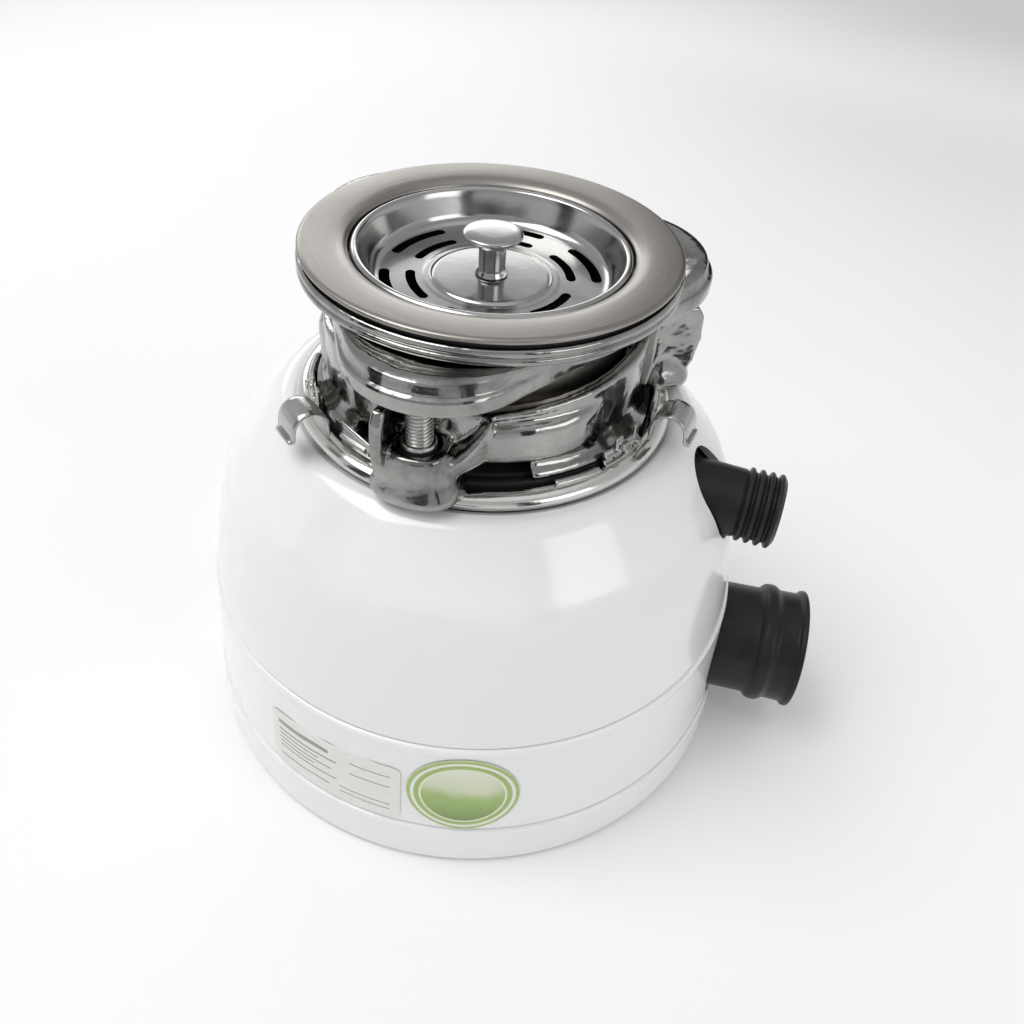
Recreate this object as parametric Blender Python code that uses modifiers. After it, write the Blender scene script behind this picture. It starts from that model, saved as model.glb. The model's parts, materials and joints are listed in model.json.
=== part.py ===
"""Under-sink food waste disposer: sink flange and three-screw twist mount over a round motor body.

Built in metres, +Z up, standing on z = 0 with the drain outlet along +X. Sizes below are in millimetres.
"""

import math

import bmesh
import bpy
from mathutils import Matrix, Vector

MM = 0.001
SEAM_GAP = 0.3
SHELL_STEPS = 32

# Overall levels, measured up from the floor
FLANGE_TOP = 183.3
SEAM_LOW = 18.6
SEAM_HIGH = 60.6
SHELL_TOP = 129.2

# Sink flange and strainer
FLANGE_R = 57.5
TUBE_R = 44.5
TUBE_BOTTOM = 141.0
FLOOR_Z = 170.6
SLOT_RINGS = ((24.4, 1.55), (32.6, 1.7))
KNOB_R = 9.2

# Three-screw mount
SCREW_R = 58.5
SCREW_AZ = (-95.0, 25.0, 145.0)
PLATE_TIP = 67.0
PLATE_LOBE = 28.0
PLATE_Z = (163.4, 172.4)
CAST_R = 50.5
BOSS_R = 10.8
BOSS_Z = (134.0, 144.0)
TAB_AZ = (-133.0, -13.0, 107.0)
RING_R = (56.6, 62.0)
RING_Z = (128.7, 133.2)

# Inlet and outlet
INLET_AZ = -5.0
INLET_Z = 107.8
INLET_END = 104.0
OUTLET_Z = 35.4
OUTLET_END = 128.0
OUTLET_BORE = 15.0

# Grinding parts and motor
TURNTABLE_Z = (88.0, 90.6)
IMPELLER_R = 38.0
IMPELLER_AZ = (60.0, 240.0)
BOLT_R = 72.0
BOLT_AZ = (60.0, 180.0, 300.0)
SHAFT_R = 5.0
RESET_AT = (-58.0, -24.0)
GLAND_AZ = 180.0
GLAND_Z = 38.0

for old in list(bpy.data.objects):
    bpy.data.objects.remove(old, do_unlink=True)
scene = bpy.context.scene
parts = bpy.data.collections.new("garbage_disposal")
helpers = bpy.data.collections.new("cutters")
helpers.hide_render = True
scene.collection.children.link(parts)
scene.collection.children.link(helpers)


def material(name, colour, metallic=0.0, roughness=0.5):
    made = bpy.data.materials.new(name)
    made.use_nodes = True
    shader = made.node_tree.nodes["Principled BSDF"]
    shader.inputs["Base Color"].default_value = (*colour, 1.0)
    shader.inputs["Metallic"].default_value = metallic
    shader.inputs["Roughness"].default_value = roughness
    made.diffuse_color = (*colour, 1.0)
    return made


BRUSHED = ((0.42, 0.40, 0.37), 1.0, 0.35)
CAST = ((0.62, 0.61, 0.58), 1.0, 0.18)
STEEL = ((0.60, 0.60, 0.60), 1.0, 0.25)
WHITE = ((0.86, 0.87, 0.88), 0.0, 0.15)
BLACK = ((0.02, 0.02, 0.02), 0.0, 0.6)
GREY = ((0.30, 0.31, 0.32), 0.0, 0.5)
COPPER = ((0.72, 0.38, 0.20), 1.0, 0.3)
MAGNET = ((0.12, 0.12, 0.13), 0.2, 0.6)
RED = ((0.65, 0.04, 0.03), 0.0, 0.35)


def place(name, mesh, look=None, at=(0, 0, 0), turn=0.0):
    """An object of this mesh: a part when it has a look, a hidden cutter when it has none."""
    made = bpy.data.objects.new(name, mesh)
    made.location = [v * MM for v in at]
    made.rotation_euler.z = math.radians(turn)
    if look:
        mesh.materials.append(material(name, *look))
        parts.objects.link(made)
    else:
        made.hide_render = True
        made.display_type = "WIRE"
        helpers.objects.link(made)
    return made


def shape(name, work, look=None, at=(0, 0, 0), turn=0.0):
    mesh = bpy.data.meshes.new(name)
    work.to_mesh(mesh)
    work.free()
    return place(name, mesh, look, at, turn)


def turned(name, profile, look=None, steps=24, **where):
    """A closed (radius, height) outline turned about the vertical axis with a Screw modifier."""
    area = sum(a[0] * b[1] - b[0] * a[1] for a, b in zip(profile, profile[1:] + profile[:1]))
    if area > 0:  # the outer side has to run downwards for the faces to look outwards
        profile = profile[::-1]
    mesh = bpy.data.meshes.new(name)
    points = [(r * MM, 0.0, z * MM) for r, z in profile]
    count = len(points)
    on_axis = profile[0][0] == 0 and profile[-1][0] == 0
    edges = [(i, (i + 1) % count) for i in range(count - 1 if on_axis else count)]
    mesh.from_pydata(points, edges, [])
    made = place(name, mesh, look, **where)
    screw = made.modifiers.new("Screw", "SCREW")
    screw.axis = "Z"
    screw.steps = screw.render_steps = steps
    screw.use_merge_vertices = True
    screw.merge_threshold = 0.00001
    screw.use_smooth_shade = False
    return made


def boolean(target, other, operation="DIFFERENCE"):
    modifier = target.modifiers.new(other.name, "BOOLEAN")
    modifier.solver = "EXACT"
    modifier.operation = operation
    modifier.object = other
    return target


def fuse(target, other):
    return boolean(target, other, "UNION")


def bar(name, size, look=None, bevel=0.0, **where):
    """A box of this size about its own centre."""
    work = bmesh.new()
    bmesh.ops.create_cube(work, size=1.0, matrix=Matrix.Diagonal(Vector(size) * MM).to_4x4())
    made = shape(name, work, look, **where)
    if bevel:
        edge = made.modifiers.new("Bevel", "BEVEL")
        edge.width = bevel * MM
        edge.segments = 2
    return made


def rod(name, radius, low, high, look=None, sides=14, **where):
    """A vertical cylinder between two heights."""
    work = bmesh.new()
    bmesh.ops.create_cone(
        work, cap_ends=True, segments=sides, radius1=radius * MM, radius2=radius * MM,
        depth=(high - low) * MM, matrix=Matrix.Translation((0, 0, (low + high) / 2 * MM)))
    return shape(name, work, look, **where)


def nut(name, radius, bore, low, high):
    """A hexagon with a round hole up its middle."""
    block = rod(name, radius, low, high, STEEL, sides=6)
    return boolean(block, rod(name + "_bore", bore, low - 2, high + 2))


def lying(made, azimuth):
    """Tips a part built along +Z so that it points outwards at this azimuth."""
    made.rotation_euler = (0.0, math.radians(90), math.radians(azimuth))
    return made


def polar(radius, azimuth, height=0.0):
    turn = math.radians(azimuth)
    return (radius * math.cos(turn), radius * math.sin(turn), height)


def prism(name, outline, low, high, look=None, bevel=0.0, **where):
    """A flat outline raised between two heights."""
    work = bmesh.new()
    face = work.faces.new([work.verts.new((x * MM, y * MM, low * MM)) for x, y in outline])
    raised = bmesh.ops.extrude_face_region(work, geom=[face])["geom"]
    bmesh.ops.translate(
        work, vec=(0, 0, (high - low) * MM),
        verts=[item for item in raised if isinstance(item, bmesh.types.BMVert)])
    bmesh.ops.recalc_face_normals(work, faces=work.faces)
    made = shape(name, work, look, **where)
    if bevel:
        edge = made.modifiers.new("Bevel", "BEVEL")
        edge.width = bevel * MM
        edge.segments = 1
        edge.angle_limit = math.radians(50)
    return made


def rounded_triangle(inset=0.0, per_lobe=7):
    """Three round lobes joined by straight sides, a lobe at each mounting screw."""
    centre, radius = PLATE_TIP - PLATE_LOBE, PLATE_LOBE - inset
    outline = []
    for azimuth in SCREW_AZ:
        for step in range(per_lobe):
            turn = math.radians(azimuth - 60 + 120 * step / (per_lobe - 1))
            x, y, _ = polar(centre, azimuth)
            outline.append((x + radius * math.cos(turn), y + radius * math.sin(turn)))
    return outline


def tube(name, points, radius, look=None, resolution=2, **where):
    """A round bar along a path, from a curve with a bevel."""
    curve = bpy.data.curves.new(name, "CURVE")
    curve.dimensions = "3D"
    curve.bevel_depth = radius * MM
    curve.bevel_resolution = resolution
    curve.use_fill_caps = True
    path = curve.splines.new("POLY")
    path.points.add(len(points) - 1)
    for knot, point in zip(path.points, points):
        knot.co = (*[v * MM for v in point], 1.0)
    drawn = bpy.data.objects.new(name, curve)
    helpers.objects.link(drawn)
    bpy.context.view_layer.update()
    graph = bpy.context.evaluated_depsgraph_get()
    mesh = bpy.data.meshes.new_from_object(drawn.evaluated_get(graph))
    bpy.data.objects.remove(drawn, do_unlink=True)
    work = bmesh.new()
    work.from_mesh(mesh)
    bmesh.ops.remove_doubles(work, verts=work.verts, dist=1e-6)
    bmesh.ops.recalc_face_normals(work, faces=work.faces)
    return shape(name, work, look, **where)


def strip(name, path, width, thickness, look=None, **where):
    """Sheet bent along a (radius, height) path and this wide round the ring."""
    work = bmesh.new()
    verts = [work.verts.new((r * MM, -width / 2 * MM, z * MM)) for r, z in path]
    edges = [work.edges.new(pair) for pair in zip(verts, verts[1:])]
    moved = bmesh.ops.extrude_edge_only(work, edges=edges)["geom"]
    bmesh.ops.translate(
        work, vec=(0, width * MM, 0),
        verts=[item for item in moved if isinstance(item, bmesh.types.BMVert)])
    bmesh.ops.recalc_face_normals(work, faces=work.faces)
    made = shape(name, work, look, **where)
    sheet = made.modifiers.new("Solidify", "SOLIDIFY")
    sheet.thickness = thickness * MM
    sheet.offset = 0.0
    return made


def sector(name, radii, angles, heights, look=None, steps=10, **where):
    """A block bent round the axis between two radii, two azimuths and two heights."""
    (inner, outer), (start, end), (low, high) = radii, angles, heights
    outline = [polar(outer, start + (end - start) * i / steps)[:2] for i in range(steps + 1)]
    outline += [polar(inner, end + (start - end) * i / steps)[:2] for i in range(steps + 1)]
    return prism(name, outline, low, high, look, **where)


# Sink flange, gasket and clamp plate -------------------------------------------------------------
flange = turned("sink_flange", [
    (43.0, 180.9), (44.8, 181.8), (48.5, 182.9), (56.2, FLANGE_TOP), (FLANGE_R, 182.6), (57.0, 181.2),
    (55.9, 181.2), (55.9, 181.7), (48.6, 181.7), (TUBE_R, 178.4), (TUBE_R, 150.0), (43.7, 150.0), (43.7, 147.6), (TUBE_R, 147.6),
    (TUBE_R, TUBE_BOTTOM), (42.7, TUBE_BOTTOM), (42.7, 175.0), (41.4, 175.9), (41.4, 177.0), (42.7, 177.0),
    (42.7, 180.2)], BRUSHED, steps=SHELL_STEPS)

turned("flange_gasket", [
    (48.5, 181.1), (54.8, 181.3), (55.2, 180.6), (55.2, 178.9), (48.5, 178.9)], BLACK)

plate = turned("backup_plate", [
    (45.0, 178.5), (56.6, 178.5), (56.6, 175.2), (53.2, 174.2), (52.8, 171.4),
    (45.0, 171.4)], CAST, steps=SHELL_STEPS)
fuse(plate, prism("plate_outline", rounded_triangle(), *PLATE_Z, bevel=1.4))
boolean(plate, rod("plate_bore", 45.0, 160, 182, sides=24))
for number, azimuth in enumerate(SCREW_AZ):
    boolean(plate, rod(f"plate_pocket_{number}", 5.4, 160, 169.6, sides=16, at=polar(SCREW_R, azimuth)))

snap = turned("snap_ring", [(46.0, 149.4), (46.0, 147.9), (44.2, 147.9), (44.2, 149.4)], STEEL)
boolean(snap, bar("snap_gap", (8, 7, 8), at=(45, 0, 149), turn=0))

# Cast mounting ring with its bosses, webs, ramps and windows ------------------------------------
cast = turned("mount_ring", [
    (45.0, 157.0), (51.6, 157.0), (51.9, 156.0), (CAST_R, 154.8), (CAST_R, 134.2), (46.6, 134.2),
    (46.6, 149.8), (45.0, 149.8)], CAST, steps=SHELL_STEPS)
for number, azimuth in enumerate(SCREW_AZ):
    boss = turned(f"boss_{number}", [
        (0, BOSS_Z[1]), (BOSS_R - 0.6, BOSS_Z[1]), (BOSS_R, BOSS_Z[1] - 0.8), (BOSS_R, 138.5),
        (BOSS_R + 0.9, 134.8), (BOSS_R, BOSS_Z[0]), (0, BOSS_Z[0])], steps=14, at=polar(SCREW_R, azimuth))
    fuse(cast, boss)
    fuse(cast, bar(f"boss_neck_{number}", (11, 2 * BOSS_R - 3.0, 9.4), at=polar(53.2, azimuth, 139.1),
                   turn=azimuth))
    side = Matrix.Rotation(math.radians(azimuth), 3, "Z") @ Vector((57.4, -8.4, 0))
    fuse(cast, bar(f"web_{number}", (20.6, 3.7, 26.2), at=(side.x, side.y, 149.5), turn=azimuth))
    ramp = (azimuth + 18.0, azimuth + 58.0)
    fuse(cast, sector(f"ramp_{number}", (48.2, 54.0), ramp, (139.8, 153.2), steps=5))
    opening = (azimuth + 14.5, azimuth + 33.0)
    boolean(cast, sector(f"window_{number}", (44.0, 60.0), opening, (130.0, 138.9), steps=3))
    boolean(cast, rod(f"boss_bore_{number}", 4.35, 130, 150, sides=16, at=polar(SCREW_R, azimuth)))

for letter, azimuth in zip("abc", SCREW_AZ):
    threads = [(0, 169.2), (2.6, 169.2), (3.6, 168.0)]
    for row in range(5):
        threads += [(4.0, 163.6 - 2.8 * row), (3.4, 162.2 - 2.8 * row)]
    threads += [(4.0, 149.2), (4.0, 134.6), (0, 134.6)]
    turned(f"mount_screw_{letter}", threads, STEEL, steps=12, at=polar(SCREW_R, azimuth))
    turned(f"screw_collar_{letter}", [
        (4.3, 149.4), (4.9, 149.4), (5.4, 145.4), (6.2, 144.3), (4.3, 144.3)],
        STEEL, steps=14, at=polar(SCREW_R, azimuth))

# Twist-lock ring with three rolled tabs -----------------------------------------------------------
ring = turned("lock_ring", [
    (RING_R[0], RING_Z[1] - 0.5), (57.4, RING_Z[1]), (59.4, 132.9), (61.2, 131.8), (RING_R[1], 130.4),
    (60.8, RING_Z[0]), (RING_R[0], RING_Z[0])], STEEL, steps=SHELL_STEPS)
HOOK = [(59.2, 131.5), (59.2, 139.0), (59.7, 141.2), (61.2, 143.2), (63.4, 144.4), (65.8, 144.5),
        (68.1, 143.4), (69.6, 141.5), (70.2, 139.2), (70.4, 136.6), (71.2, 135.6), (72.3, 135.9)]
for number, azimuth in enumerate(TAB_AZ):
    fuse(ring, strip(f"tab_{number}", HOOK, 11.0, 1.3, turn=azimuth))
    fuse(ring, sector(f"lug_{number}", (55.2, 57.0), (azimuth + 7, azimuth + 19), (130.2, 139.0), steps=2))
    fuse(ring, sector(f"clip_{number}", (55.2, 58.4), (azimuth - 24, azimuth - 9), (130.2, 138.0), steps=3))
    boolean(ring, bar(f"clip_slot_{number}", (8, 4.5, 2.2), at=polar(57, azimuth - 17, 135.4),
                      turn=azimuth - 17))

# Strainer basket with its handle, nut and seal ----------------------------------------------------
basket = turned("strainer_basket", [
    (0, FLOOR_Z + 0.8), (18.2, FLOOR_Z + 0.8), (19.4, FLOOR_Z), (35.6, FLOOR_Z), (37.4, 172.8),
    (39.6, 180.0), (40.8, 180.9), (42.3, 180.3), (41.6, 179.7), (40.6, 179.7), (38.2, 171.8),
    (36.0, FLOOR_Z - 1.0), (19.0, FLOOR_Z - 1.0), (17.4, FLOOR_Z - 0.2), (0, FLOOR_Z - 0.2)], STEEL,
    steps=SHELL_STEPS)
boolean(basket, rod("stud_hole", 2.6, 165, 176, sides=12))
for row, (radius, half_width) in enumerate(SLOT_RINGS):
    for number in range(6):
        middle = 32.0 + 60 * number
        boolean(basket, sector(f"slot_{row}_{number}", (radius - half_width, radius + half_width),
                               (middle - 21, middle + 21), (FLOOR_Z - 3, FLOOR_Z + 3), steps=3))
turned("strainer_handle", [
    (0, 185.4), (KNOB_R - 0.8, 185.2), (KNOB_R, 184.3), (KNOB_R - 0.6, 182.8), (4.2, 181.6),
    (4.1, 171.7), (2.3, 171.7), (2.3, 163.6), (0, 163.6)], STEEL, steps=20)
nut("strainer_nut", 5.2, 2.6, 166.4, 170.1)
turned("strainer_seal", [(41.2, 179.3), (42.3, 179.3), (42.3, 177.4), (40.6, 177.4)], BLACK)

# Rubber mounting and splash guard -----------------------------------------------------------------
turned("cushion_mount", [
    (38.4, 140.6), (43.6, 140.6), (43.6, 133.8), (54.4, 133.8), (54.9, 133.3), (54.9, 128.4),
    (38.4, 128.4)], BLACK)
guard = turned("splash_guard", [
    (0, 130.6), (33.0, 131.0), (34.5, 132.4), (37.9, 132.4), (37.9, 128.4), (33.0, 129.2), (0, 129.0)],
    BLACK)
boolean(guard, rod("guard_hole", 4.0, 125, 135, sides=12))
for number in range(2):
    boolean(guard, bar(f"guard_slit_{number}", (58, 1.4, 12), at=(0, 0, 130), turn=90 * number + 15))

# White enclosure ---------------------------------------------------------------------------------
upper = turned("upper_shell", [
    (62.8, SHELL_TOP), (66.6, SHELL_TOP), (70.2, 127.0), (80.4, 114.9), (83.8, 111.4), (86.0, 107.4),
    (88.2, 101.0), (91.8, 86.5), (95.9, SEAM_HIGH + SEAM_GAP), (93.3, SEAM_HIGH + SEAM_GAP),
    (89.2, 86.2), (83.6, 106.5), (68.6, 124.8), (65.6, 126.6), (62.8, 126.6)], WHITE, steps=SHELL_STEPS)
inlet_window = lying(rod("inlet_window", 13.6, 60, 110, sides=20, at=(0, 0, 111.6)), INLET_AZ)
inlet_window.scale.x = 1.38
boolean(upper, inlet_window)

middle = turned("middle_shell", [
    (96.2, SEAM_HIGH), (97.0, SEAM_HIGH - 1.2), (99.3, 19.8), (98.9, SEAM_LOW + SEAM_GAP),
    (96.4, SEAM_LOW + SEAM_GAP), (94.2, SEAM_HIGH)], WHITE, steps=SHELL_STEPS)
base = turned("base_shell", [
    (0, 2.6), (97.2, 2.6), (97.2, SEAM_LOW), (99.6, SEAM_LOW), (100.3, SEAM_LOW - 0.7), (101.0, 4.0),
    (100.7, 1.2), (99.4, 0.0), (0, 0.0)], WHITE, steps=SHELL_STEPS)
outlet_window = lying(rod("outlet_window", 23.0, 70, 115, sides=24, at=(0, 0, OUTLET_Z)), 0.0)
boolean(middle, outlet_window)
boolean(base, outlet_window)
boolean(middle, lying(rod("gland_window", 7.4, 80, 110, at=(0, 0, GLAND_Z)), GLAND_AZ))
for number, azimuth in enumerate(BOLT_AZ):
    fuse(base, rod(f"post_{number}", 6.0, 2.0, 62.6, sides=16, at=polar(BOLT_R, azimuth)))
    boolean(base, rod(f"post_bore_{number}", 2.8, 22.0, 70.0, sides=12, at=polar(BOLT_R, azimuth)))
for number in range(3):
    azimuth = 120 * number + 28
    boolean(base, bar(f"vent_{number}", (16, 3.2, 12), at=polar(80, azimuth), turn=azimuth))
boolean(base, rod("reset_hole", 4.5, -5, 8, sides=16, at=(*RESET_AT, 0)))


def wrapped(name, low, high, azimuth, half_width, look, round_ends=False):
    """A thin sheet that follows the middle shell's flared wall."""
    slope = (99.3 - 97.0) / (SEAM_HIGH - 1.2 - 19.6)
    foot, head = (97.35 + slope * (SEAM_HIGH - 1.2 - z) for z in (low, high))
    sheet = turned(name, [(head, high), (head + 0.35, high), (foot + 0.35, low), (foot, low)], look,
                   steps=SHELL_STEPS)
    if round_ends:
        stamp = rod(name + "_stamp", half_width, 70, 120, sides=24, at=(0, 0, (low + high) / 2))
        lying(stamp, azimuth)
    else:
        stamp = bar(name + "_stamp", (60, 2 * half_width, high - low), bevel=2.0,
                    at=polar(95, azimuth, (low + high) / 2), turn=azimuth)
    return boolean(sheet, stamp, "INTERSECT")


wrapped("rating_label", 21.0, 48.0, -104.5, 25.5, ((0.82, 0.81, 0.77), 0.0, 0.4))
wrapped("round_sticker", 20.2, 57.2, -77.8, 18.5, ((0.38, 0.52, 0.20), 0.0, 0.3), round_ends=True)

# Dishwasher inlet, drain outlet and cord gland --------------------------------------------------
BARBS = []
for step in range(4):
    BARBS += [(11.0, 91.0 + 3.3 * step), (12.6, 91.5 + 3.3 * step)]
inlet = turned("dishwasher_inlet", [
    (9.0, 67.0), (12.0, 67.0), (12.0, 69.0), (11.5, 69.6), (11.5, 90.2), *BARBS, (11.2, INLET_END),
    (9.0, INLET_END)], BLACK, steps=16, at=(0, 0, INLET_Z))
lying(inlet, INLET_AZ)

bend = [(56, 0, 62.4), (56, 0, 61.4)]
for step in range(1, 6):
    turn = math.pi * step / 12
    bend.append((82 - 26 * math.cos(turn), 0, 61.4 - 26 * math.sin(turn)))
bend += [(82, 0, OUTLET_Z), (100, 0, OUTLET_Z)]
elbow = tube("discharge_elbow", bend, OUTLET_BORE + 2.5, BLACK)
fuse(elbow, rod("elbow_flange", 20.5, 59.8, 62.4, at=(56, 0, 0)))
boolean(elbow, tube("elbow_bore", [(56, 0, 66)] + bend[1:-1] + [(104, 0, OUTLET_Z)], OUTLET_BORE))

sleeve = turned("discharge_sleeve", [
    (17.9, 86.0), (20.2, 86.0), (20.4, 111.4), (22.5, 113.2), (22.5, 116.4), (21.0, 118.4),
    (21.2, 125.4), (22.4, 126.6), (22.4, OUTLET_END), (17.9, OUTLET_END)], BLACK, steps=20,
    at=(0, 0, OUTLET_Z))
lying(sleeve, 0.0)

gland = turned("cord_gland", [
    (4.0, 92.0), (7.0, 92.0), (7.0, 99.2), (10.5, 99.4), (10.0, 102.6), (6.8, 104.6), (4.0, 104.6)],
    BLACK, steps=16, at=(0, 0, GLAND_Z))
lying(gland, GLAND_AZ)

liner = turned("sound_liner", [
    (66.8, 122.6), (70.6, 120.4), (80.6, 108.4), (91.6, 62.6), (86.0, 62.6), (79.8, 97.6),
    (67.4, 115.4)], BLACK)
boolean(liner, lying(rod("liner_window", 12.8, 55, 100, at=(0, 0, INLET_Z)), INLET_AZ))

# Grinding chamber, ring, turntable and impellers ------------------------------------------------
chamber = turned("grind_chamber", [
    (36.6, 128.0), (55.8, 128.0), (58.0, 123.6), (66.0, 116.6), (66.0, 84.4), (63.2, 84.4),
    (63.2, 115.4), (55.6, 122.2), (53.6, 125.4), (36.6, 125.4)], STEEL)
boolean(chamber, lying(rod("chamber_inlet", 9.0, 50, 80, at=(0, 0, INLET_Z)), INLET_AZ))

shredder = turned("shredder_ring", [
    (58.6, 108.0), (62.8, 108.0), (62.8, 84.5), (60.4, 84.5), (58.6, 86.5)], STEEL)
for number in range(6):
    boolean(shredder, bar(f"tooth_gap_{number}", (128, 4.0, 9.5), at=(0, 0, 89.0), turn=30 * number + 7))

table = turned("turntable", [
    (5.3, 94.0), (12.0, 94.0), (12.0, TURNTABLE_Z[1]), (57.8, TURNTABLE_Z[1]), (57.8, 86.4),
    (56.0, 86.4), (56.0, TURNTABLE_Z[0]), (5.3, TURNTABLE_Z[0])], STEEL)
for letter, azimuth in zip("ab", IMPELLER_AZ):
    boolean(table, rod(f"rivet_hole_{letter}", 2.9, 80, 95, sides=14, at=polar(IMPELLER_R, azimuth)))
    boolean(table, rod(f"drain_hole_{letter}", 3.5, 80, 95, sides=12, at=polar(46, azimuth + 80)))
    lug = bar(f"impeller_{letter}", (24, 9, 3.4), STEEL, bevel=0.8, at=polar(IMPELLER_R, azimuth, 92.8),
              turn=azimuth)
    lug.data.transform(Matrix.Translation((3 * MM, 0, 0)))
    heel = bar(f"impeller_heel_{letter}", (6.5, 9, 10.5), at=lug.location / MM, turn=azimuth)
    heel.data.transform(Matrix.Translation((11.7 * MM, 0, 3.5 * MM)))
    fuse(lug, heel)
    boolean(lug, rod(f"impeller_bore_{letter}", 2.9, 85, 110, sides=14, at=polar(IMPELLER_R, azimuth)))
    turned(f"impeller_rivet_{letter}", [
        (0, 96.4), (4.4, 96.2), (4.6, 95.0), (2.6, 94.9), (2.6, 87.7), (4.2, 87.7), (4.0, 86.6), (0, 86.6)],
        STEEL, steps=12, at=polar(IMPELLER_R, azimuth))
nut("turntable_nut", 9.0, 5.3, 94.3, 99.4)

housing = turned("chamber_base", [
    (6.2, 78.0), (9.4, 78.0), (12.5, 74.0), (13.5, 66.4), (61.0, 66.4), (61.0, 84.1), (66.0, 84.1),
    (66.0, 66.0), (64.0, 63.0), (6.2, 63.0)], GREY)
for number, azimuth in enumerate(BOLT_AZ):
    fuse(housing, rod(f"ear_{number}", 6.4, 63.4, 69.6, sides=12, at=polar(BOLT_R, azimuth)))
    fuse(housing, bar(f"ear_neck_{number}", (8, 10, 5.4), at=polar(66.8, azimuth, 66.6), turn=azimuth))
    boolean(housing, rod(f"ear_bore_{number}", 2.9, 60, 75, sides=12, at=polar(BOLT_R, azimuth)))
fuse(housing, rod("drain_boss", 20.0, 63.3, 65.8, sides=20, at=(56, 0, 0)))
boolean(housing, rod("drain_bore", 14.0, 60, 70, at=(46, 0, 0)))
boolean(housing, rod("seal_pocket", 8.6, 74.4, 80, sides=24))
for letter, azimuth in zip("abc", BOLT_AZ):
    turned(f"housing_bolt_{letter}", [
        (0, 74.4), (4.6, 74.4), (4.6, 69.9), (2.5, 69.9), (2.5, 24.0), (0, 24.0)], STEEL, steps=12,
        at=polar(BOLT_R, azimuth))

# Motor ---------------------------------------------------------------------------------------------
turned("motor_shaft", [
    (0, 101.0), (SHAFT_R, 100.4), (SHAFT_R, 6.4), (0, 6.0)], STEEL, steps=16)
turned("shaft_seal", [(5.3, 77.8), (8.3, 77.8), (8.3, 74.7), (5.3, 74.7)], BLACK, steps=16)
turned("upper_bearing", [(5.3, 62.0), (10.9, 62.0), (10.9, 57.0), (5.3, 57.0)], STEEL, steps=16)
turned("lower_bearing", [(5.3, 13.0), (10.9, 13.0), (10.9, 8.0), (5.3, 8.0)], STEEL, steps=16)
turned("motor_bracket", [
    (11.2, 62.2), (14.0, 62.2), (15.0, 58.6), (36.8, 58.6), (36.8, 56.0), (6.0, 56.0), (6.0, 56.7),
    (11.2, 56.7)], GREY, steps=16)
turned("motor_can", [(35.0, 55.7), (36.8, 55.7), (36.8, 9.0), (35.0, 9.0)], STEEL, steps=20)
turned("end_bell", [
    (0, 5.6), (5.6, 5.6), (5.6, 7.7), (11.2, 7.7), (11.2, 12.6), (13.6, 12.6), (14.4, 8.7), (36.8, 8.7),
    (36.8, 4.6), (0, 4.6)], GREY, steps=20)
for letter, azimuth in zip("ab", (90, 270)):
    sector(f"magnet_{letter}", (29.2, 33.6), (azimuth - 68, azimuth + 68), (14.0, 42.0), MAGNET, steps=6)
core = turned("armature", [(5.3, 41.0), (28.4, 41.0), (28.4, 15.0), (5.3, 15.0)], COPPER, steps=20)
for number in range(5):
    boolean(core, bar(f"winding_slot_{number}", (64, 2.6, 15), at=(0, 0, 47.5 - 13.6), turn=36 * number))
turned("commutator", [(5.3, 53.4), (10.8, 53.4), (10.8, 44.6), (12.0, 43.6), (5.3, 43.6)], COPPER, steps=16)
for letter, azimuth in zip("ab", (0, 180)):
    holder = bar(f"brush_holder_{letter}", (17.5, 9.5, 11.3), BLACK, at=polar(25.2, azimuth, 50.0),
                 turn=azimuth)
    boolean(holder, bar(f"brush_slot_{letter}", (17.5, 6.2, 6.2), at=polar(22.4, azimuth, 49.2),
                        turn=azimuth))
    bar(f"carbon_brush_{letter}", (12.0, 5.5, 5.5), MAGNET, at=polar(17.3, azimuth, 49.2), turn=azimuth)

switch = bar("overload_switch", (20, 16, 18), BLACK, bevel=0.8, at=(*RESET_AT, 14.0), turn=22.5)
boolean(switch, rod("switch_bore", 4.4, 0, 10, sides=24, at=(*RESET_AT, 0)))
turned("reset_button", [(0, 7.4), (2.6, 7.4), (4.0, 6.8), (4.0, 0.9), (3.6, 0.5), (0, 0.5)], RED, steps=16,
       at=(*RESET_AT, 0))
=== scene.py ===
"""Looks for the food waste disposer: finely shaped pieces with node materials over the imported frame."""

import json
import math

import bmesh
import bpy
from mathutils import Matrix, Vector


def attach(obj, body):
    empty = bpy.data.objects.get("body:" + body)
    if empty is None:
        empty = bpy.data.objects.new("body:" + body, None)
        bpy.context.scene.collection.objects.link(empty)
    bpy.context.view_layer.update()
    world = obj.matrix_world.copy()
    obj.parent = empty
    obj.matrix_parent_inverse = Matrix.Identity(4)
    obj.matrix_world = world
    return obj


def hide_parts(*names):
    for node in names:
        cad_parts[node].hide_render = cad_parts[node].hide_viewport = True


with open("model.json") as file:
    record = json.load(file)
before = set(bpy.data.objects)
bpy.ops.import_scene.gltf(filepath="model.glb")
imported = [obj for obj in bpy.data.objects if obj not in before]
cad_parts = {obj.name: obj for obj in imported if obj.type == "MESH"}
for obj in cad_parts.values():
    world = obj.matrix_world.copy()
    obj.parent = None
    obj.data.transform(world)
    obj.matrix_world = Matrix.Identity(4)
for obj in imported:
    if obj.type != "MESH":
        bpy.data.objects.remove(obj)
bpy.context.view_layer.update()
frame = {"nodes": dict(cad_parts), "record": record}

# Shapes are drawn in millimetres, with azimuths in degrees from +X.
MM = 0.001
SCREW_AZ = (-95.0, 25.0, 145.0)
SCREW_R = 58.5
TAB_AZ = (-133.0, -13.0, 107.0)
FLOOR_Z = 170.6  # the strainer's floor
INLET_AZ = -5.0
INLET_Z = 107.8
OUTLET_Z = 35.4
GLAND_AZ = 180.0
GLAND_Z = 38.0
BUTTON_AT = (-58, -24, 0)
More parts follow.
